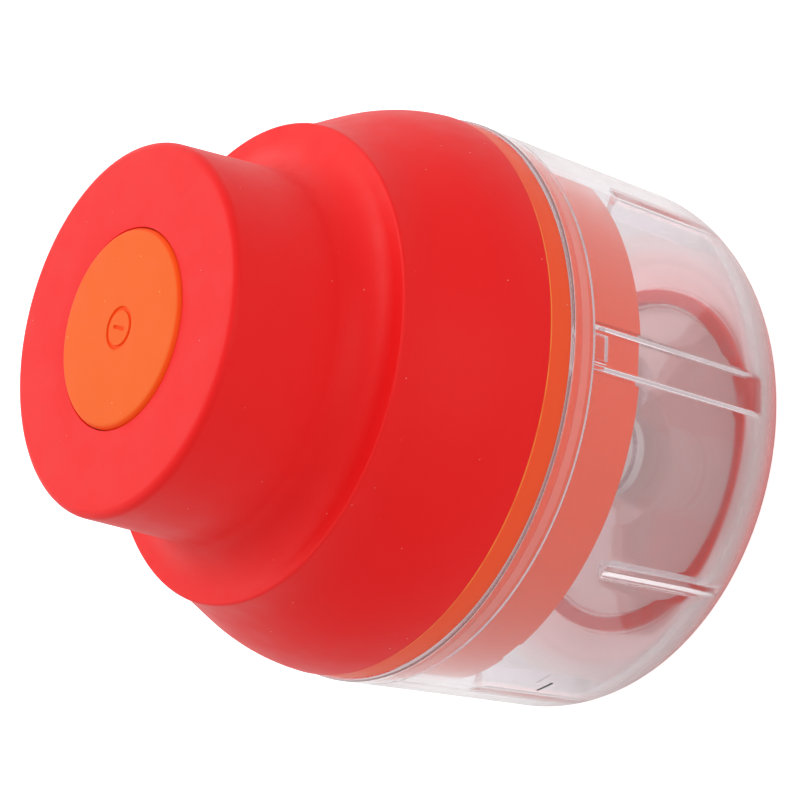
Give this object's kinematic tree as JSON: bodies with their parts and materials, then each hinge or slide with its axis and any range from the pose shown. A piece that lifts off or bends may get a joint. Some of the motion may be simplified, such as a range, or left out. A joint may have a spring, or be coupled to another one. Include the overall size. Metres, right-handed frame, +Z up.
{
  "type": "electric garlic chopper",
  "caption": "Cordless garlic chopper: a clear ribbed bowl with stacked sickle blades under a domed, lift-off motor head with a push button on top.",
  "frame": {"origin": "centre of the foot ring's underside, where the chopper stands", "axes": "+Z up through the button, along the blade shaft; -Y the front, which faces the camera in the picture; +Y the back, with the charging port; +X the object's left as seen from the back"},
  "size_m": [0.09, 0.09, 0.1024],
  "materials": {
    "clear_plastic": "clear moulded plastic, polished",
    "red_shell": "satin soft-touch coat",
    "orange_plastic": "satin moulded plastic",
    "orange_button": "satin moulded plastic",
    "white_plastic": "satin moulded plastic",
    "black_plastic": "moulded",
    "red_silicone": "matt silicone",
    "orange_silicone": "matt silicone",
    "black_rubber": "matt",
    "steel": "ground stainless steel",
    "zinc_steel": "zinc plated pressed steel",
    "core_steel": "stacked steel laminations",
    "ferrite": "matt grey ferrite",
    "bronze": "sintered bronze",
    "copper": "copper",
    "carbon": "pressed carbon",
    "nickel": "nickel plated",
    "cell_wrap": "lithium cell in a printed-free shrink sleeve",
    "red_lead": "insulated wire",
    "blue_lead": "insulated wire",
    "board_green": "solder mask on glass fibre"
  },
  "bodies": {
    "bowl": {"bowl": "clear_plastic", "spindle_pin": "steel", "foot_ring": "red_silicone"},
    "bush": {"hub_bush": "bronze"},
    "blades": {"blade_hub": "white_plastic", "lower_blade": "steel", "middle_blade": "steel", "upper_blade": "steel", "blade_spacers": "white_plastic", "hub_collar": "white_plastic"},
    "head": {"upper_housing": "red_shell", "lower_housing": "orange_plastic", "sealing_ring": "orange_silicone", "shaft_seal": "black_rubber", "housing_screws": "steel", "motor_can": "zinc_steel", "motor_end_cap": "black_plastic", "motor_magnets": "ferrite", "motor_bearings": "bronze", "brushes": "carbon", "motor_mount": "zinc_steel", "mount_screws": "steel", "motor_screws": "steel", "battery_cell": "cell_wrap", "battery_tabs": "nickel", "battery_cradle": "black_plastic", "battery_leads": "red_lead", "motor_leads": "blue_lead", "circuit_board": "board_green", "board_components": "black_plastic", "board_screws": "steel", "switch_body": "black_plastic", "usb_socket": "nickel", "button_spring": "steel"},
    "drive": {"motor_shaft": "steel", "rotor_core": "core_steel", "rotor_windings": "copper", "commutator": "copper", "drive_coupling": "white_plastic"},
    "button": {"button_cap": "orange_button", "switch_plunger": "white_plastic"},
    "cover": {"port_cover": "red_silicone"}
  },
  "joints": [
    {"name": "head_lift", "type": "slide", "parent": "bowl", "child": "head", "axis": [0, 0, 1], "range_m": [0, 0.06]},
    {"name": "blade_lift", "type": "slide", "parent": "bowl", "child": "bush", "axis": [0, 0, 1], "range_m": [0, 0.03]},
    {"name": "blade_spin", "type": "hinge", "parent": "bush", "child": "blades", "pos_m": [0, 0, 0.0069], "axis": [0, 0, 1], "continuous": true},
    {"name": "drive_spin", "type": "hinge", "parent": "head", "child": "drive", "pos_m": [0, 0, 0.0446], "axis": [0, 0, 1], "continuous": true},
    {"name": "button_press", "type": "slide", "parent": "head", "child": "button", "axis": [0, 0, -1], "range_m": [0, 0.001], "stiffness_N_per_m": 800, "deforming": ["button_spring"]},
    {"name": "port_cover_swing", "type": "hinge", "parent": "head", "child": "cover", "pos_m": [0, 0.02827, 0.09078], "axis": [1, 0, 0], "range_deg": [0, 100]}
  ],
  "couplings": [
    {"joint": "blade_lift", "follows": "head_lift", "ratio": 0.5},
    {"joint": "blade_spin", "follows": "drive_spin", "ratio": 1}
  ]
}
